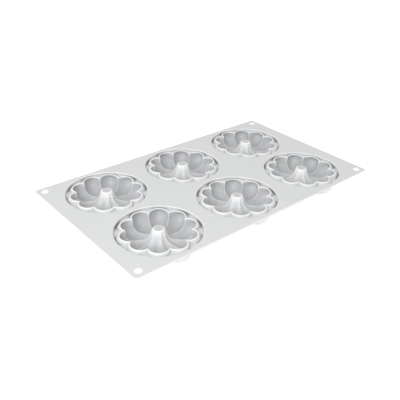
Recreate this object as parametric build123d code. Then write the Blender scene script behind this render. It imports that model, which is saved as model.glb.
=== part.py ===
from build123d import *
import os
from math import asin, cos, degrees, pi, sin, sqrt

# One tray of grey silicone: a flat deck sheet with two rows of three cavities hanging under it.
# Each cavity is a round recess, a flower-shaped lip that stands in it, a petalled cup below the lip
# and a hollow fluted cone in the middle. +X is the long side, +Z is up, and z = 0 is the table.

# Deck sheet
deck_length = 300.0
deck_width = 175.0
deck_thickness = 1.5
deck_corner_radius = 3.0
corner_hole_diameter = 7.0
corner_hole_inset = 7.5

# Cavity layout: the flat land left between neighbouring recesses
columns = ("left", "middle", "right")
rows = ("front", "back")
column_land = 15.0
row_land = 6.0

# Round recess that each flower stands in
silicone_wall = 1.5
recess_radius = 40.0
recess_depth = 3.2

# Flower outline: equal arcs side by side round a circle
petal_count = 10
petal_arc_radius = 8.9
lip_width = 1.5
tip_gap = 3.6

# Petal cup: each petal is a tapered lobe, wide and round at the tip, that bulges out under the lip
cup_depth = 16.0
lobe_undercut = 4.3
lobe_tip_radius = 9.3
lobe_root_radius = 5.2
lobe_root_place = 14.0
lobe_root_depth = 14.5
crest_opening_depth = 7.6

# Cone in the middle, open from below
cone_rise = 1.2
cone_top_radius = 5.6
cone_neck_radius = 7.9
cone_neck_depth = 4.6
cone_base_radius = 12.0
cone_shoulder_depth = 8.0
cone_foot_depth = 13.0
cone_hollow_radius = 3.4
cone_hollow_slope = 0.5

# Places and sizes that follow
column_pitch = 2 * recess_radius + column_land
row_pitch = 2 * recess_radius + row_land
petal_tip_radius = recess_radius - tip_gap - lip_width
petal_ring_radius = petal_tip_radius - petal_arc_radius
half_petal = pi / petal_count
notch_half_chord = petal_ring_radius * sin(half_petal)
notch_height = sqrt(petal_arc_radius**2 - notch_half_chord**2)
notch_radius = petal_ring_radius * cos(half_petal) + notch_height
deck_top = cup_depth + silicone_wall
deck_underside = deck_top - deck_thickness
recess_floor = deck_top - recess_depth
cup_top = recess_floor - silicone_wall
cone_top = deck_top + cone_rise
cone_foot = deck_top - cone_foot_depth
petal_angle = 360 / petal_count


def disc(radius, low, high):
    return Pos(0, 0, (low + high) / 2) * Cylinder(radius, high - low)


def flower_prism(arc_radius, low, high):
    petals = PolarLocations(petal_ring_radius, petal_count, start_angle=petal_angle / 2)
    outline = Circle(petal_ring_radius) + petals * Circle(arc_radius)
    return Pos(0, 0, low) * extrude(outline, amount=high - low)


def petal_lobe(offset):
    """A round root and a round tip joined by the cone that touches both, lying along +X."""
    tip = Vector(petal_tip_radius + lobe_undercut - lobe_tip_radius, 0, silicone_wall + lobe_tip_radius)
    root = Vector(lobe_root_place, 0, deck_top - lobe_root_depth + lobe_root_radius)
    tip_radius = lobe_tip_radius + offset
    root_radius = lobe_root_radius + offset
    length = (tip - root).length
    lean = (tip_radius - root_radius) / length
    cone_side = sqrt(1 - lean**2)
    with BuildPart() as lobe:
        with BuildSketch(Plane(origin=root, x_dir=(tip - root), z_dir=(0, 1, 0))):
            with BuildLine():
                root_pole = (-root_radius, 0)
                root_touch = (-root_radius * lean, root_radius * cone_side)
                tip_touch = (length - tip_radius * lean, tip_radius * cone_side)
                tip_pole = (length + tip_radius, 0)
                RadiusArc(root_pole, root_touch, root_radius)
                Line(root_touch, tip_touch)
                tip_arc = CenterArc((length, 0), tip_radius, 0, 90 + degrees(asin(lean)))
                Line(tip_pole, root_pole)
            make_face()
        revolve(axis=Axis(root, tip - root))
    return lobe.part


def cone_block():
    """The cone as a turned solid, before the petals flute it and its underside is opened."""
    with BuildPart() as block:
        with BuildSketch(Plane.XZ):
            with BuildLine():
                flank = ThreePointArc(
                    (cone_top_radius, cone_top),
                    (cone_neck_radius, deck_top - cone_neck_depth),
                    (cone_base_radius, deck_top - cone_shoulder_depth),
                )
                Polyline(flank @ 1, (cone_base_radius, cone_foot), (0, cone_foot), (0, cone_top), flank @ 0)
            make_face()
        revolve(axis=Axis.Z)
    return block.part


def cone_hollow():
    height = cone_top - silicone_wall
    mouth_radius = cone_hollow_radius + cone_hollow_slope * height
    return Pos(0, 0, height / 2) * Cone(mouth_radius, cone_hollow_radius, height)


def deck_sheet(centres):
    sheet = Pos(0, 0, (deck_top + deck_underside) / 2) * Box(deck_length, deck_width, deck_thickness)
    sheet = fillet(sheet.edges().filter_by(Axis.Z), deck_corner_radius)
    openings = [centre * disc(recess_radius, deck_underside, deck_top) for centre in centres]
    holes = GridLocations(deck_length - 2 * corner_hole_inset, deck_width - 2 * corner_hole_inset, 2, 2)
    corner_hole = disc(corner_hole_diameter / 2, deck_underside, deck_top)
    return sheet - openings - [hole * corner_hole for hole in holes]


def recess_ring():
    ring = disc(recess_radius + silicone_wall, cup_top, deck_underside)
    well = disc(recess_radius, recess_floor, deck_underside)
    return ring - well - flower_prism(petal_arc_radius + lip_width, cup_top, deck_underside)


def flower_lip():
    outer = flower_prism(petal_arc_radius + lip_width, cup_top, deck_top)
    return outer - flower_prism(petal_arc_radius, cup_top, deck_top)


def petal_sector():
    """One petal's share of the cup and the cone, cut off half-way to its neighbours."""
    reach = 2 * recess_radius
    corner = (reach * cos(half_petal), reach * sin(half_petal))
    outline = Polyline((0, 0), corner, (corner[0], -corner[1]), (0, 0))
    wedge = extrude(make_face(outline), amount=cone_top)
    below_recess = disc(recess_radius + silicone_wall, 0, cup_top)
    crest_opening = disc(notch_radius, deck_top - crest_opening_depth, cup_top)
    shell = (petal_lobe(silicone_wall) & below_recess) - crest_opening
    return ((shell + cone_block()) & wedge) - petal_lobe(0) - cone_hollow()


def cup_and_cone():
    sector = petal_sector()
    body = Part() + [Rot(0, 0, (step + 0.5) * petal_angle) * sector for step in range(petal_count)]
    middle = disc(cone_base_radius, 0, cone_top)
    return body - middle, body & middle


centres = {}
for row_index, row in enumerate(rows):
    for column_index, column in enumerate(columns):
        x = (column_index - (len(columns) - 1) / 2) * column_pitch
        y = (row_index - (len(rows) - 1) / 2) * row_pitch
        centres[row + "_" + column] = Pos(x, y, 0)

petal_cup, centre_cone = cup_and_cone()
cavity_pieces = {
    "recess_ring": recess_ring(),
    "flower_lip": flower_lip(),
    "petal_cup": petal_cup,
    "centre_cone": centre_cone,
}

os.makedirs("parts", exist_ok=True)
export_step(deck_sheet(centres.values()), "parts/deck_sheet.step")
for place, centre in centres.items():
    for name, piece in cavity_pieces.items():
        export_step(centre * piece, "parts/" + place + "_" + name + ".step")
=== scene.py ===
from math import atan2, cos, pi, radians, sin, sqrt

import bmesh
import bpy
import numpy as np
from mathutils import Matrix, Vector


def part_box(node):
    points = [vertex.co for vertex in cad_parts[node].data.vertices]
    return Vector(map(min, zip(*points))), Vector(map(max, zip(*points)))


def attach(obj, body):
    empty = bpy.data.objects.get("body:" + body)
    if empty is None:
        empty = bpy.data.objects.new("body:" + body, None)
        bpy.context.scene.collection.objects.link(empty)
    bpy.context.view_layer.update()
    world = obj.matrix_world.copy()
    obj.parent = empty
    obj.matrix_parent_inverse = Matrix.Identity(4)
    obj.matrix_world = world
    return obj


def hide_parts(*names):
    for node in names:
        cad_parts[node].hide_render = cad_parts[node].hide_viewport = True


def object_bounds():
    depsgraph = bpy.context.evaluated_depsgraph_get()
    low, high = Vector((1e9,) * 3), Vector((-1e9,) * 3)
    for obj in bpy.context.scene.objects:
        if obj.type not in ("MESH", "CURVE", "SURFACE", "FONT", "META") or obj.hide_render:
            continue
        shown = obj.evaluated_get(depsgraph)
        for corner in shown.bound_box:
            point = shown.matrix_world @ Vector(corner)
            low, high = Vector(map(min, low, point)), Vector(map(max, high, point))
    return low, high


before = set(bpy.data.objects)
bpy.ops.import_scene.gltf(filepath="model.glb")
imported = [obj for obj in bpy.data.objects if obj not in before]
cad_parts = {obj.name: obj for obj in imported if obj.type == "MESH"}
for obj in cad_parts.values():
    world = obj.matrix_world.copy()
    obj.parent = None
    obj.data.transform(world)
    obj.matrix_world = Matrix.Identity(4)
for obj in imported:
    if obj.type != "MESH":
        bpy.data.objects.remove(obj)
cad_low, cad_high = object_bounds()

# Deck sheet: the flat top of the mould, one sheet of grey silicone with six round openings and a
# hole in each corner. It comes out of the press with the cavities, so its edges are softly
# rounded.

MM = 0.001
deck_low, deck_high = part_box("deck_sheet")
deck_top = deck_high.z
deck_thickness = deck_high.z - deck_low.z
deck_corner_radius = 3.0 * MM
deck_edge_round = 0.55 * MM
corner_hole_radius = 3.5 * MM
corner_hole_inset = 7.5 * MM
corner_hole_round = 0.4 * MM
recess_radius = 40.0 * MM
recess_edge_round = 0.5 * MM
opening_top_radius = recess_radius + recess_edge_round
opening_underside_radius = recess_radius + 2.0 * MM

cavities = [
    row + "_" + column for row in ("front", "back") for column in ("left", "middle", "right")
]
centres = {}
for cavity in cavities:
    low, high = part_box(cavity + "_recess_ring")
    centres[cavity] = Vector(((low.x + high.x) / 2, (low.y + high.y) / 2, deck_top))

# Grid columns round a cavity. They crowd towards the ridges between the petals, where the shape
# turns.
petal_count = 10
half_petal = pi / petal_count
petal_arc_radius = 8.9 * MM
petal_ring_radius = 26.0 * MM
columns_per_half = 15
arc_turn = np.linspace(0, 1, columns_per_half + 1)
notch = petal_ring_radius * cos(half_petal) + sqrt(
    petal_arc_radius**2 - (petal_ring_radius * sin(half_petal)) ** 2
)
arc_end = atan2(notch * sin(half_petal), notch * cos(half_petal) - petal_ring_radius)
half_azimuths = np.arctan2(
    petal_arc_radius * np.sin(arc_turn * arc_end),
    petal_ring_radius + petal_arc_radius * np.cos(arc_turn * arc_end),
)
half_azimuths[-1] = half_petal
steps = np.arange(-columns_per_half, columns_per_half)
column_half = np.tile(np.abs(steps), petal_count)
column_azimuth = np.concatenate(
    [
        (2 * petal + 1) * half_petal + np.sign(steps) * half_azimuths[np.abs(steps)]
        for petal in range(petal_count)
    ]
)


def circle_loop(centre, radius, height, azimuths):
    return [
        (centre[0] + radius * cos(a), centre[1] + radius * sin(a), height)
        for a in azimuths
    ]


corner_steps = 16


def deck_outline(inset, height):
    loop = []
    middle_x, middle_y = (deck_low.x + deck_high.x) / 2, (deck_low.y + deck_high.y) / 2
    half_x = (deck_high.x - deck_low.x) / 2 - deck_corner_radius
    half_y = (deck_high.y - deck_low.y) / 2 - deck_corner_radius
    for corner, (side_x, side_y) in enumerate(((1, 1), (-1, 1), (-1, -1), (1, -1))):
        for step in range(corner_steps + 1):
            turn = corner * pi / 2 + step / corner_steps * pi / 2
            loop.append(
                (
                    middle_x + side_x * half_x + (deck_corner_radius - inset) * cos(turn),
                    middle_y + side_y * half_y + (deck_corner_radius - inset) * sin(turn),
                    height,
                )
            )
    return loop


def outline_normals(tilt):
    turns = [
        corner * pi / 2 + step / corner_steps * pi / 2
        for corner in range(4)
        for step in range(corner_steps + 1)
    ]
    return [(cos(t) * cos(tilt), sin(t) * cos(tilt), sin(tilt)) for t in turns]


# How pale the plain silicone is, from 0 to 1. Painted highlights and painted shade set other values
# above or below it.
deck_paleness = 0.655


class Skin:
    """Points with their normals and grey, which carries painted highlights and shade, and faces
    between rows.
    """

    def __init__(self):
        self.mesh = bmesh.new()
        self.normals = []
        self.grey_and_painted_light = []

    def row(self, points, normals, grey_and_painted_light=None):
        made = [self.mesh.verts.new(point) for point in points]
        self.normals.extend(tuple(n) for n in normals)
        self.grey_and_painted_light.extend([deck_paleness] * len(made) if grey_and_painted_light is None else grey_and_painted_light)
        return made

    def strip(self, first, second):
        count = len(first)
        for i in range(count):
            j = (i + 1) % count
            self.mesh.faces.new((first[i], first[j], second[j], second[i]))

    def fan(self, row, pole, outward):
        for i in range(len(row)):
            j = (i + 1) % len(row)
            corners = (row[i], row[j], pole) if outward else (row[j], row[i], pole)
            self.mesh.faces.new(corners)

    def flat_face(self, rows, up):
        edges = []
        for row in rows:
            for i in range(len(row)):
                pair = (row[i], row[(i + 1) % len(row)])
                edges.append(self.mesh.edges.get(pair) or self.mesh.edges.new(pair))
        made = bmesh.ops.triangle_fill(
            self.mesh,
            use_beauty=True,
            use_dissolve=False,
            edges=edges,
            normal=(0, 0, 1 if up else -1),
        )
        for face in made["geom"]:
            if isinstance(face, bmesh.types.BMFace):
                face.normal_update()
                if (face.normal.z > 0) != up:
                    face.normal_flip()

    def finish(self, name):
        mesh = bpy.data.meshes.new(name)
        self.mesh.verts.index_update()
        self.mesh.to_mesh(mesh)
        self.mesh.free()
        mesh.shade_smooth()
        mesh.normals_split_custom_set_from_vertices(self.normals)
        grey_and_painted_light = mesh.attributes.new("grey_and_painted_light", "FLOAT", "POINT")
        grey_and_painted_light.data.foreach_set("value", [float(p) for p in self.grey_and_painted_light])
        return mesh


def silicone_finish():
    """Pressed grey silicone: satin, faintly clouded, its grey per point with painted highlights and
    shade.
    """
    material = bpy.data.materials.new("grey_silicone")
    material.use_nodes = True
    nodes, links = material.node_tree.nodes, material.node_tree.links
    shader = nodes["Principled BSDF"]
    place = nodes.new("ShaderNodeNewGeometry")

    clouding = nodes.new("ShaderNodeTexNoise")
    clouding.inputs["Scale"].default_value = 45.0
    clouding.inputs["Detail"].default_value = 4.0
    links.new(place.outputs["Position"], clouding.inputs["Vector"])
    # The attribute read here is the plain grey with painted highlights and painted shade in it.
    grey_and_painted_light_input = nodes.new("ShaderNodeAttribute")
    grey_and_painted_light_input.attribute_name = "grey_and_painted_light"
    shade = nodes.new("ShaderNodeMath")
    shade.operation = "MULTIPLY_ADD"
    shade.inputs[1].default_value = 0.035
    links.new(clouding.outputs["Fac"], shade.inputs[0])
    links.new(grey_and_painted_light_input.outputs["Fac"], shade.inputs[2])
    colour = nodes.new("ShaderNodeMix")
    colour.data_type = "RGBA"
    colour.inputs[6].default_value = (0.0, 0.002, 0.006, 1)
    colour.inputs[7].default_value = (0.985, 0.992, 1.0, 1)
    links.new(shade.outputs[0], colour.inputs[0])
    links.new(colour.outputs[2], shader.inputs["Base Color"])

    gloss = nodes.new("ShaderNodeTexNoise")
    gloss.inputs["Scale"].default_value = 160.0
    gloss.inputs["Detail"].default_value = 5.0
    links.new(place.outputs["Position"], gloss.inputs["Vector"])
    gloss_range = nodes.new("ShaderNodeMapRange")
    gloss_range.inputs["To Min"].default_value = 0.34
    gloss_range.inputs["To Max"].default_value = 0.44
    links.new(gloss.outputs["Fac"], gloss_range.inputs["Value"])
    links.new(gloss_range.outputs["Result"], shader.inputs["Roughness"])

    pebble = nodes.new("ShaderNodeTexNoise")
    pebble.inputs["Scale"].default_value = 1800.0
    pebble.inputs["Detail"].default_value = 3.0
    links.new(place.outputs["Position"], pebble.inputs["Vector"])
    bump = nodes.new("ShaderNodeBump")
    bump.inputs["Strength"].default_value = 0.12
    bump.inputs["Distance"].default_value = 0.00008
    links.new(pebble.outputs["Fac"], bump.inputs["Height"])
    links.new(bump.outputs["Normal"], shader.inputs["Normal"])

    shader.inputs["Specular IOR Level"].default_value = 0.5
    shader.inputs["IOR"].default_value = 1.45
    return material


grey_silicone = silicone_finish()


def show(name, mesh, place, *nodes):
    piece = bpy.data.objects.new(name, mesh)
    bpy.context.scene.collection.objects.link(piece)
    piece.location = place
    if not mesh.materials:
        mesh.materials.append(grey_silicone)
    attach(piece, "root")
    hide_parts(*nodes)
    return piece


deck = Skin()
tilts = [radians(90 - 22.5 * i) for i in range(5)]
edge_rows = []
for tilt in tilts:
    inset = deck_edge_round * (1 - cos(tilt))
    height = deck_top - deck_edge_round * (1 - sin(tilt))
    edge_rows.append(deck.row(deck_outline(inset, height), outline_normals(tilt)))
for tilt in reversed(tilts):
    inset = deck_edge_round * (1 - cos(tilt))
    height = deck_low.z + deck_edge_round * (1 - sin(tilt))
    edge_rows.append(deck.row(deck_outline(inset, height), outline_normals(-tilt)))
for upper, lower in zip(edge_rows, edge_rows[1:]):
    deck.strip(lower, upper)

top_rows, underside_rows = [edge_rows[0]], [edge_rows[-1]]
hole_steps = 48
around = [2 * pi * i / hole_steps for i in range(hole_steps)]
deck_middle = (deck_low + deck_high) / 2
hole_reach_x = (deck_high.x - deck_low.x) / 2 - corner_hole_inset
hole_reach_y = (deck_high.y - deck_low.y) / 2 - corner_hole_inset
for side_x in (-1, 1):
    for side_y in (-1, 1):
        hole = (deck_middle.x + side_x * hole_reach_x, deck_middle.y + side_y * hole_reach_y)
        hole_rows = []
        for face, order in ((1, tilts), (-1, list(reversed(tilts)))):
            for tilt in order:
                radius = corner_hole_radius + corner_hole_round * (1 - cos(tilt))
                edge = deck_top if face == 1 else deck_low.z
                height = edge - face * corner_hole_round * (1 - sin(tilt))
                edge_normals = [
                    (-cos(a) * cos(tilt), -sin(a) * cos(tilt), face * sin(tilt)) for a in around
                ]
                hole_rows.append(deck.row(circle_loop(hole, radius, height, around), edge_normals))
        for upper, lower in zip(hole_rows, hole_rows[1:]):
            deck.strip(upper, lower)
        top_rows.append(hole_rows[0])
        underside_rows.append(hole_rows[-1])

for centre in centres.values():
    upper = deck.row(
        circle_loop(centre, opening_top_radius, deck_top, column_azimuth),
        [(0, 0, 1)] * len(column_azimuth),
    )
    lower = deck.row(
        circle_loop(centre, opening_underside_radius, deck_low.z, column_azimuth),
        [(0, 0, -1)] * len(column_azimuth),
    )
    deck.strip(upper, lower)
    top_rows.append(upper)
    underside_rows.append(lower)

deck.flat_face(top_rows, True)
deck.flat_face(underside_rows, False)
show("deck", deck.finish("deck"), (0, 0, 0), "deck_sheet")

# Recess rings: the round step in the deck that each flower stands in, a wall and a flat floor
# with a soft corner between them. Moulded with the deck, in the same silicone wall.

recess_depth = 3.2 * MM
wall = 1.5 * MM
lip_width = 1.5 * MM
floor_corner_round = 0.3 * MM
lip_lean_depth = 4.7 * MM
lip_lean_power = 1.15
lip_lean_ease = 0.12
lobe_reach = (13.2 * MM, 8.9 * MM, 10.4 * MM)
ridge_round = 2.0 * MM
crease_round = 1.4 * MM


def smooth_max(a, b, reach):
    blend = np.maximum(reach - np.abs(a - b), 0) / reach
    return np.maximum(a, b) + blend**2 * reach / 4


def smooth_min(a, b, reach):
    return -smooth_max(-a, -b, reach)


def petal_wall(outward, height, softness, azimuth):
    """Distance from the cavity's axis to the petal wall, which leans out from lip to lobe."""
    drop = np.maximum(-height, 0) / lip_lean_depth
    lean = smooth_min(drop**lip_lean_power, 1.0, lip_lean_ease)
    arc = petal_arc_radius + outward
    long, wide = lobe_reach[0] + outward, lobe_reach[1] + outward

    def one(angle):
        reach = np.maximum(arc**2 - (petal_ring_radius * np.sin(angle)) ** 2, 0)
        lip = petal_ring_radius * np.cos(angle) + np.sqrt(reach)
        square = (np.cos(angle) / long) ** 2 + (np.sin(angle) / wide) ** 2
        half = petal_ring_radius * np.cos(angle) / long**2
        rest = (petal_ring_radius / long) ** 2 - 1
        lobe = (half + np.sqrt(np.maximum(half**2 - square * rest, 0))) / square
        return lip * (1 - lean) + lobe * lean

    return smooth_max(one(azimuth), one(2 * half_petal - azimuth), softness)


def petal_outline(outward, height, softness):
    return petal_wall(outward, height, softness, half_azimuths)


flat = np.ones(columns_per_half + 1)
quarter_turn = np.linspace(0, pi / 2, 5)
ring_top = []
for turn in quarter_turn:
    ring_top.append(
        (
            (opening_top_radius - recess_edge_round * sin(turn)) * flat,
            -recess_edge_round * (1 - cos(turn)) * flat,
        )
    )
for height in (-1.2 * MM, -1.9 * MM):
    ring_top.append((recess_radius * flat, height * flat))
for turn in quarter_turn:
    ring_top.append(
        (
            (recess_radius - floor_corner_round * (1 - cos(turn))) * flat,
            (-recess_depth + floor_corner_round * (1 - sin(turn))) * flat,
        )
    )
lip_foot = petal_outline(lip_width, -recess_depth, crease_round) + floor_corner_round
for share in (0.25, 0.5, 0.75):
    ring_top.append(
        (
            (recess_radius - floor_corner_round) * (1 - share) + lip_foot * share,
            -recess_depth * flat,
        )
    )
for turn in quarter_turn:
    height = -recess_depth + floor_corner_round * (1 - cos(turn))
    foot = petal_outline(lip_width, height, crease_round) + floor_corner_round * (1 - sin(turn))
    ring_top.append((foot, height * flat))

# Flower lips: the scalloped rim round each flower, with a rounded crest level with the deck.
# Demoulded whole, so the creases between the petals are softened too.

lip_rise = 0.15 * MM
lip_crest = lip_width / 2
lip_seam = -4.0 * MM
lip_top = []
for height in (-2.3 * MM, -1.7 * MM, -1.15 * MM):
    lip_top.append((petal_outline(lip_width, height, crease_round), height * flat))
for turn in np.linspace(0, pi, 11):
    outward = lip_crest + lip_crest * cos(turn)
    softness = crease_round + (ridge_round - crease_round) * turn / pi
    height = lip_rise - lip_crest * (1 - sin(turn))
    lip_top.append((petal_outline(outward, height, softness), height * flat))

# Petal cups: ten lobes round each cone. A lobe is widest below the lip, where it bulges outwards,
# and runs up into a flute on the cone. The walls are one silicone thickness.

lobe_centre = (26.0 * MM, -5.6 * MM)
flute_centre = (15.2 * MM, -7.5 * MM)
flute_reach = (9.5 * MM, 5.6 * MM, 5.6 * MM)
flute_tilt = radians(33.7)
crest_low = (21.5 * MM, -11.2 * MM)
crest_half_width = 7.0 * MM
crest_roundness = 2.2
cone_top_radius = 5.6 * MM
cone_rise = 1.2 * MM
cone_split = 12.0 * MM
undercut_top = -4.7 * MM
wall_foot = -5.0 * MM
wall_inner_reach = 24 * MM
join_round = 1.0 * MM
flute_blend = 1.4 * MM
cone_fluting = 1.9
wall_steepness = 0.8


def egg_distance(along, across, up, centre, reach, tilt=0.0):
    x, z = along - centre[0], up - centre[1]
    x, z = x * cos(tilt) - z * sin(tilt), x * sin(tilt) + z * cos(tilt)
    size = np.sqrt((x / reach[0]) ** 2 + (across / reach[1]) ** 2 + (z / reach[2]) ** 2)
    slope = np.sqrt(
        (x / reach[0] ** 2) ** 2 + (across / reach[1] ** 2) ** 2 + (z / reach[2] ** 2) ** 2
    )
    return size * (size - 1) / np.maximum(slope, 1e-6)


def crest_distance(radius, height, azimuth):
    """The bowl that the ridges between the petals follow, with a shallow flute on the cone."""
    fade = np.clip((17 * MM - radius) / (5 * MM), 0, 1)
    top = np.clip((height + 3 * MM) / (3.5 * MM), 0, 1)
    radius = radius * (np.cos(azimuth) / cos(half_petal)) ** (cone_fluting * fade * (1 - 0.4 * top))
    depth = undercut_top - crest_low[1]
    u = np.maximum(radius - crest_low[0], 1e-9) / crest_half_width
    v = np.maximum(undercut_top - height, 1e-9) / depth
    p = crest_roundness
    size = (u**p + v**p) ** (1 / p)
    slope = size ** (1 - p) * np.sqrt(
        (u ** (p - 1) / crest_half_width) ** 2 + (v ** (p - 1) / depth) ** 2
    )
    outer = (size - 1) / np.maximum(slope, 1e-6)
    span = crest_low[0] - cone_top_radius
    climb = cone_rise - crest_low[1]
    t = np.maximum(crest_low[0] - radius, 0) / span
    profile = crest_low[1] + climb * (0.68 * t**2 + 0.32 * t**10)
    gradient = climb * (1.36 * t + 3.2 * t**9) / span
    inner = (profile - height) / np.sqrt(1 + gradient**2)
    return np.where(radius > crest_low[0], outer, inner)


lip_inside = petal_outline(0.0, lip_seam, ridge_round)
lip_slope = np.gradient(lip_inside, half_azimuths)
lip_slope[0] = lip_slope[-1] = 0


def hollow_distance(radius, height, azimuth, column):
    """Below zero where the cavity is open, above zero in the silicone."""
    along, across = radius * np.cos(azimuth), radius * np.sin(azimuth)
    lobe = egg_distance(along, across, height, lobe_centre, lobe_reach)
    lobe = np.maximum(lobe, height - undercut_top)
    flute = egg_distance(along, across, height, flute_centre, flute_reach, flute_tilt)
    square_on = 1 / np.sqrt(1 + (lip_slope[column] / lip_inside[column]) ** 2)
    wall_radius = petal_wall(0.0, height, ridge_round, azimuth)
    upper_wall = np.maximum((radius - wall_radius) * square_on * wall_steepness, wall_foot - height)
    upper_wall = np.maximum(upper_wall, wall_inner_reach - radius)
    crest = crest_distance(radius, height, azimuth)
    petal = np.minimum(lobe, upper_wall)
    return smooth_min(smooth_min(flute, crest, flute_blend), petal, join_round)


def walk_out(distance, start, turns):
    """Where rays from a start in the half-plane of each column first leave the region."""
    column = np.arange(columns_per_half + 1)[:, None, None]
    azimuth = half_azimuths[:, None, None]
    reach = np.linspace(0, 30 * MM, 241)[None, None, :]
    far = distance(
        np.abs(start[0] + reach * np.cos(turns)[:, :, None]),
        start[1] + reach * np.sin(turns)[:, :, None],
        azimuth,
        column,
    )
    first = np.argmax(far > 0, axis=2)
    low = reach[0, 0, np.maximum(first - 1, 0)]
    high = reach[0, 0, first]
    for _ in range(24):
        middle = (low + high) / 2
        there = distance(
            np.abs(start[0] + middle * np.cos(turns)),
            start[1] + middle * np.sin(turns),
            half_azimuths[:, None],
            column[:, :, 0],
        )
        low, high = np.where(there > 0, low, middle), np.where(there > 0, middle, high)
    return start[0] + low * np.cos(turns), start[1] + low * np.sin(turns)


def even_rows(radius, height, start, end, count):
    """The stretch between two places on each column's line, cut into equal steps."""
    rows = np.zeros((2, count + 1, columns_per_half + 1))
    for column in range(columns_per_half + 1):
        run = np.concatenate(
            ([0], np.cumsum(np.hypot(np.diff(radius[column]), np.diff(height[column]))))
        )
        at = np.linspace(start(column, run), end(column, run), count + 1)
        rows[0, :, column] = np.interp(at, run, radius[column])
        rows[1, :, column] = np.interp(at, run, height[column])
    return [(rows[0, i], rows[1, i]) for i in range(count + 1)]


def split_place(radius):
    """How far along a column's line it last passes the split between cup and cone."""

    def place(column, run):
        line = radius[column]
        last = np.nonzero(line > cone_split)[0][-1]
        share = (line[last] - cone_split) / (line[last] - line[last + 1])
        return run[last] + share * (run[last + 1] - run[last])

    return place


ray_start = (21.5 * MM, -8.0 * MM)
seam_radius = lip_inside.copy()
for _ in range(12):
    column = np.arange(columns_per_half + 1)
    seam_radius = seam_radius - hollow_distance(seam_radius, lip_seam * flat, half_azimuths, column)
for share in (0.2, 0.4, 0.6, 0.8, 1.0):
    start_height = lip_rise - lip_crest
    height = start_height + (lip_seam - start_height) * share
    ease = share * share * (3 - 2 * share)
    inside = petal_outline(0.0, height, ridge_round)
    lip_top.append((inside + (seam_radius - lip_inside) * ease, height * flat))

cone_flank_end = (5.93 * MM, 0.4 * MM)
first_turn = np.arctan2(lip_seam - ray_start[1], seam_radius - ray_start[0])
last_turn = atan2(cone_flank_end[1] - ray_start[1], cone_flank_end[0] - ray_start[0]) - 2 * pi
ray_share = np.linspace(0, 1, 601)[None, :]
turns = first_turn[:, None] * (1 - ray_share) + last_turn * ray_share
cup_radius, cup_height = walk_out(hollow_distance, ray_start, turns)
cup_radius[:, 0], cup_height[:, 0] = seam_radius, lip_seam
split = split_place(cup_radius)
cup_rows, cone_rows = 68, 16
cup_top = even_rows(cup_radius, cup_height, lambda c, run: 0.0, split, cup_rows)
cone_top = even_rows(cup_radius, cup_height, split, lambda c, run: run[-1], cone_rows)


cone_hollow_radius = 3.4 * MM
cone_hollow_top = -0.3 * MM
cone_hollow_slope = 0.5
cone_hollow_lean = 0.894
lobe_root_reach = 27 * MM
lobe_root_foot = -6 * MM
core_foot = -13 * MM


def shell_distance(radius, height, azimuth, column):
    """Below zero inside the outer shell that hangs under the deck."""
    along, across = radius * np.cos(azimuth), radius * np.sin(azimuth)
    grown_lobe = tuple(reach + wall for reach in lobe_reach)
    grown_flute = tuple(reach + wall for reach in flute_reach)
    lobe = egg_distance(along, across, height, lobe_centre, grown_lobe)
    flute = egg_distance(along, across, height, flute_centre, grown_flute, flute_tilt)
    above = np.maximum(radius - lobe_root_reach, lobe_root_foot - height)
    core = np.maximum(radius - cone_split, core_foot - height)
    filled = smooth_min(np.minimum(lobe, above), smooth_min(flute, core, 1.2 * MM), 1.0 * MM)
    inside_cone = radius - cone_hollow_radius + cone_hollow_slope * (height - cone_hollow_top)
    inside_cone = inside_cone * cone_hollow_lean
    inside_cone = smooth_max(inside_cone, height - cone_hollow_top, 0.3 * MM)
    return smooth_max(filled, -inside_cone, 0.8 * MM)


under_start = (21.5 * MM, -4.7 * MM)
hollow_end = (3.7 * MM, -0.9 * MM)
under_last = atan2(hollow_end[1] - under_start[1], hollow_end[0] - under_start[0]) - 2 * pi
turns = np.zeros((columns_per_half + 1, 1)) + under_last * ray_share
shell_radius, shell_height = walk_out(shell_distance, under_start, turns)
split = split_place(shell_radius)
cup_under_rows, cone_under_rows = 42, 22
cup_under = even_rows(shell_radius, shell_height, lambda c, run: 0.0, split, cup_under_rows)
cone_under = even_rows(shell_radius, shell_height, split, lambda c, run: run[-1], cone_under_rows)

under_edge_round = 0.5 * MM
under_corner_round = 0.6 * MM
ring_under = []
for turn in quarter_turn:
    ring_under.append(
        (
            (opening_underside_radius - under_edge_round * sin(turn)) * flat,
            (-deck_thickness - under_edge_round * (1 - cos(turn))) * flat,
        )
    )
for turn in quarter_turn:
    ring_under.append(
        (
            (recess_radius + wall - under_corner_round * (1 - cos(turn))) * flat,
            (undercut_top + under_corner_round * (1 - sin(turn))) * flat,
        )
    )
under_floor_edge = recess_radius + wall - under_corner_round
for share in (0.35, 0.7, 0.97):
    ring_under.append(
        (under_floor_edge * (1 - share) + shell_radius[:, 0] * share, undercut_top * flat)
    )

# Centre cones: the fluted cone in the middle of each flower, a little higher than the deck, with
# a rounded rim and a slightly sunken top. It is hollow and open from below.

cone_dish = 0.2 * MM
flank_end = cone_top[cone_rows]
rim_end = flank_end[0] - 1.0 * MM
for share in (0.2, 0.4, 0.6, 0.8, 1.0):
    a, b, c = (1 - share) ** 2, 2 * share * (1 - share), share**2
    cone_top.append(
        (
            a * flank_end[0] + b * (flank_end[0] - 0.26 * MM) + c * rim_end,
            a * flank_end[1] + (b + c) * cone_rise,
        )
    )
for share in (0.8, 0.6, 0.35, 0.12):
    cone_top.append((rim_end * share, (cone_rise - cone_dish * (1 - share**2) ** 2) * flat))
hollow_flat_radius = 2.7 * MM
for share in (0.33, 0.67, 1.0):
    a, b, c = (1 - share) ** 2, 2 * share * (1 - share), share**2
    cone_under.append(
        (
            a * cone_under[cone_under_rows][0] + b * cone_hollow_radius + c * hollow_flat_radius,
            a * cone_under[cone_under_rows][1] + (b + c) * cone_hollow_top,
        )
    )
for share in (0.6, 0.2):
    cone_under.append((hollow_flat_radius * share * flat, cone_hollow_top * flat))


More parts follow.
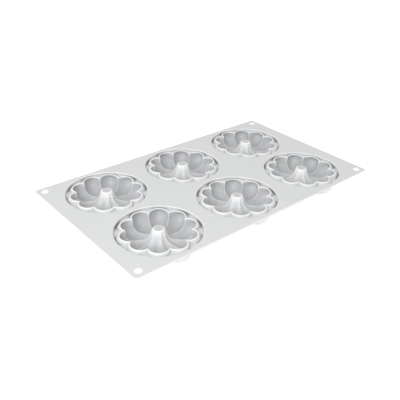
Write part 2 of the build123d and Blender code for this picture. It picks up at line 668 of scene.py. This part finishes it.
def unfold(rows):
    """Rows of half a petal, turned and mirrored into whole loops round the axis."""
    radius = np.array([row[0][column_half] for row in rows])
    height = np.array([row[1][column_half] for row in rows])
    along, across = radius * np.cos(column_azimuth), radius * np.sin(column_azimuth)
    return np.stack([along, across, height], -1)


def facing(points, side):
    along = np.gradient(points, axis=0)
    around = np.roll(points, -1, axis=1) - np.roll(points, 1, axis=1)
    normal = np.cross(around, along) * side
    return normal / np.maximum(np.linalg.norm(normal, axis=2, keepdims=True), 1e-12)


upper_rows = ring_top + lip_top + cup_top[1:] + cone_top[1:]
under_rows = ring_under + cup_under + cone_under[1:]
upper, under = unfold(upper_rows), unfold(under_rows)
upper_facing, under_facing = facing(upper, 1), facing(under, -1)


def bulge(points, normals):
    """How sharply the surface bulges, per metre: above zero on ridges, below it in hollows."""
    before, after = np.roll(points, 1, axis=0), np.roll(points, -1, axis=0)
    before[0], after[-1] = points[0], points[-1]
    left, right = np.roll(points, 1, axis=1), np.roll(points, -1, axis=1)
    total = 0
    for one, other in ((before, after), (left, right)):
        room = np.linalg.norm(one - points, axis=2) * np.linalg.norm(other - points, axis=2)
        bend = np.sum(normals * (2 * points - one - other), axis=2)
        total = total + bend / np.maximum(room, 4e-8)
    return total


ring_end = len(ring_top)
lip_end = ring_end + len(lip_top)
cup_end = lip_end + len(cup_top) - 1
ring_under_end = len(ring_under)
cup_under_end = ring_under_end + len(cup_under)

# Painted light on the upper side, worked out from the shape alone: painted highlights on ridges,
# lips and the cone's flank and rim; painted shade in the hollows, at the petal roots and in the
# cone's dish; a painted contact shadow in the gaps at the petal tips.
# Amounts of painted highlight and painted shade, as parts of the 0 to 1 grey.
ridge_painted_highlight, crease_painted_shade = 0.22, 0.09
cone_ridge_highlight_cut = 0.17
hollow_painted_shade, root_painted_shade, flank_painted_highlight, dish_painted_shade, gap_painted_shadow = 0.085, 0.07, 0.20, 0.11, 0.46
darkest, palest = 0.08, 0.93
upper_radius = np.hypot(upper[:, :, 0], upper[:, :, 1])
upper_height = upper[:, :, 2]
row_number = np.arange(len(upper_rows))[:, None]
upper_bulge = np.tanh(bulge(upper, upper_facing) / 900)


def ramp(value, start, end):
    """From 0 at start to 1 at end, which may be the lower of the two."""
    return np.clip((value - start) / (end - start), 0, 1)


on_cone = ramp(upper_radius, 15 * MM, 9 * MM) * ramp(upper_height, -9 * MM, -3 * MM)
# Painted highlight where the surface bulges out, painted shade in creases; less highlight on the
# cone's flutes.
bulge_highlight_and_shade = np.where(
    upper_bulge > 0, ridge_painted_highlight - cone_ridge_highlight_cut * on_cone * (upper_height < 0), crease_painted_shade
)
past_lip = np.clip((row_number - ring_end - len(lip_top) / 2) / 14, 0, 1)
# Masks for painted shade: deep in the hollows past the lip, and at the petal roots.
in_hollow = ramp(-upper_height, 0, 5 * MM) * ramp(upper_radius, 7 * MM, 14 * MM)
at_root = ramp(-upper_height, 8 * MM, 16 * MM) * ramp(upper_radius, 11 * MM, 17 * MM)
# Mask for the painted shadow in the narrow gap between each petal tip and the recess wall.
gap_width = recess_radius - petal_outline(lip_width, -recess_depth, crease_round)
gap = ramp(gap_width, 5 * MM, 0)
gap_shadow_share = (gap * gap * (3 - 2 * gap))[column_half]
gap_shadow_depth = ramp(-upper_height, 0, recess_depth) ** 1.5
# The plain grey with every painted highlight and painted shade added, then held between darkest and
# palest.
grey_and_painted_light = (
    deck_paleness
    + bulge_highlight_and_shade * upper_bulge
    - hollow_painted_shade * in_hollow * past_lip
    - root_painted_shade * at_root
    # Painted highlight on the cone's flank and rim, painted shade in its sunken top.
    + flank_painted_highlight * on_cone * ramp(upper_radius, 4.6 * MM, 5.2 * MM)
    - dish_painted_shade * ramp(upper_radius, 4.9 * MM, 4.1 * MM)
    # Painted contact shadow in those gaps, darker further down.
    - np.where(row_number < ring_end, gap_painted_shadow * gap_shadow_share * gap_shadow_depth, 0)
)
upper_grey_and_painted_light = np.clip(grey_and_painted_light, darkest, palest)
under_paleness = np.full(under.shape[:2], deck_paleness)


def loops_piece(name, loops):
    skin = Skin()
    rows = [skin.row(*loop) for loop in loops]
    for first, second in zip(rows, rows[1:] + rows[:1]):
        skin.strip(first, second)
    return skin.finish(name)


def upper_stretch(start, end):
    return list(zip(upper[start:end], upper_facing[start:end], upper_grey_and_painted_light[start:end]))


def under_stretch(start, end):
    return list(zip(under[start:end], under_facing[start:end], under_paleness[start:end]))


# Ring, lip and cup meet in two hidden loops inside the silicone, between the floor and the
# undercut.
inner_join_height, outer_join_height = -3.9 * MM, -4.1 * MM
inner_join, outer_join = unfold(
    [
        (petal_outline(0.7 * MM, inner_join_height, ridge_round), inner_join_height * flat),
        (shell_radius[:, 0] - 0.1 * MM, outer_join_height * flat),
    ]
)
hidden = np.tile((0.0, 0.0, 1.0), (len(column_azimuth), 1))
ring_mesh = loops_piece(
    "recess_ring",
    upper_stretch(0, ring_end)
    + [(inner_join, hidden), (outer_join, hidden)]
    + under_stretch(0, ring_under_end + 1)[::-1],
)
lip_mesh = loops_piece(
    "flower_lip", upper_stretch(ring_end - 1, lip_end) + [(inner_join, hidden)]
)
cup_mesh = loops_piece(
    "petal_cup",
    upper_stretch(lip_end - 1, cup_end)
    + under_stretch(ring_under_end, cup_under_end)[::-1]
    + [(outer_join, hidden), (inner_join, hidden)],
)
cone = Skin()
rows = [
    cone.row(*loop)
    for loop in under_stretch(cup_under_end - 1, len(under_rows))[::-1]
    + upper_stretch(cup_end - 1, len(upper_rows))
]
for first, second in zip(rows, rows[1:]):
    cone.strip(first, second)
under_pole = cone.row([(0, 0, cone_hollow_top)], [(0, 0, -1)])[0]
top_pole = cone.row(
    [(0, 0, cone_rise - cone_dish)], [(0, 0, 1)], upper_grey_and_painted_light[-1, :1]
)[0]
cone.fan(rows[0], under_pole, False)
cone.fan(rows[-1], top_pole, True)
cone_mesh = cone.finish("centre_cone")

for cavity, centre in centres.items():
    show(cavity + "_ring", ring_mesh, centre, cavity + "_recess_ring")
    show(cavity + "_lip", lip_mesh, centre, cavity + "_flower_lip")
    show(cavity + "_cup", cup_mesh, centre, cavity + "_petal_cup")
    show(cavity + "_cone", cone_mesh, centre, cavity + "_centre_cone")

# Studio: a pale floor under the mould, one broad soft light from the front left and a bright,
# even room. The camera looks down on the mould from its front left corner.

floor_mesh = bpy.data.meshes.new("studio_floor")
floor_reach = 6
floor_mesh.from_pydata(
    [
        (side_x * floor_reach, side_y * floor_reach, cad_low.z)
        for side_x, side_y in ((-1, -1), (1, -1), (1, 1), (-1, 1))
    ],
    [],
    [(0, 1, 2, 3)],
)
studio_floor = bpy.data.objects.new("studio_floor", floor_mesh)
bpy.context.scene.collection.objects.link(studio_floor)
floor_finish = bpy.data.materials.new("floor_white")
floor_finish.use_nodes = True
floor_shader = floor_finish.node_tree.nodes["Principled BSDF"]
floor_shader.inputs["Base Color"].default_value = (0.9, 0.9, 0.9, 1)
floor_shader.inputs["Roughness"].default_value = 0.9
floor_shader.inputs["Emission Color"].default_value = (1, 1, 1, 1)
floor_shader.inputs["Emission Strength"].default_value = 0.4
floor_mesh.materials.append(floor_finish)

room = bpy.data.worlds.new("room")
bpy.context.scene.world = room
room.use_nodes = True
room.node_tree.nodes["Background"].inputs["Color"].default_value = (1, 1, 1, 1)
room.node_tree.nodes["Background"].inputs["Strength"].default_value = 0.80


def softbox(name, azimuth, elevation, distance, size, power):
    light = bpy.data.lights.new(name, "AREA")
    light.shape = "RECTANGLE"
    light.size, light.size_y = size
    light.energy = power
    lamp = bpy.data.objects.new(name, light)
    bpy.context.scene.collection.objects.link(lamp)
    away = Vector(
        (cos(azimuth) * cos(elevation), sin(azimuth) * cos(elevation), sin(elevation))
    )
    lamp.location = away * distance
    lamp.rotation_mode = "QUATERNION"
    lamp.rotation_quaternion = away.to_track_quat("Z", "Y")
    return lamp


softbox("front_softbox", radians(212), radians(34), 1.2, (0.9, 0.7), 7.6)

camera_data = bpy.data.cameras.new("camera")
camera_data.lens = 49.11
camera_data.sensor_width = 36.0
camera = bpy.data.objects.new("camera", camera_data)
bpy.context.scene.collection.objects.link(camera)
camera.location = (-0.329606, -0.369424, deck_top + 0.267082)
forward = Vector((0.563035, 0.652098, -0.507701)).normalized()
level_right = forward.cross(Vector((0, 0, 1))).normalized()
level_up = level_right.cross(forward)
roll = radians(1.395)
right = level_right * cos(roll) + level_up * sin(roll)
up = level_up * cos(roll) - level_right * sin(roll)
camera.rotation_mode = "QUATERNION"
camera.rotation_quaternion = Matrix((right, up, -forward)).transposed().to_quaternion()
camera_data.clip_start, camera_data.clip_end = 0.01, 50
bpy.context.scene.camera = camera
bpy.context.scene.view_settings.view_transform = "Standard"
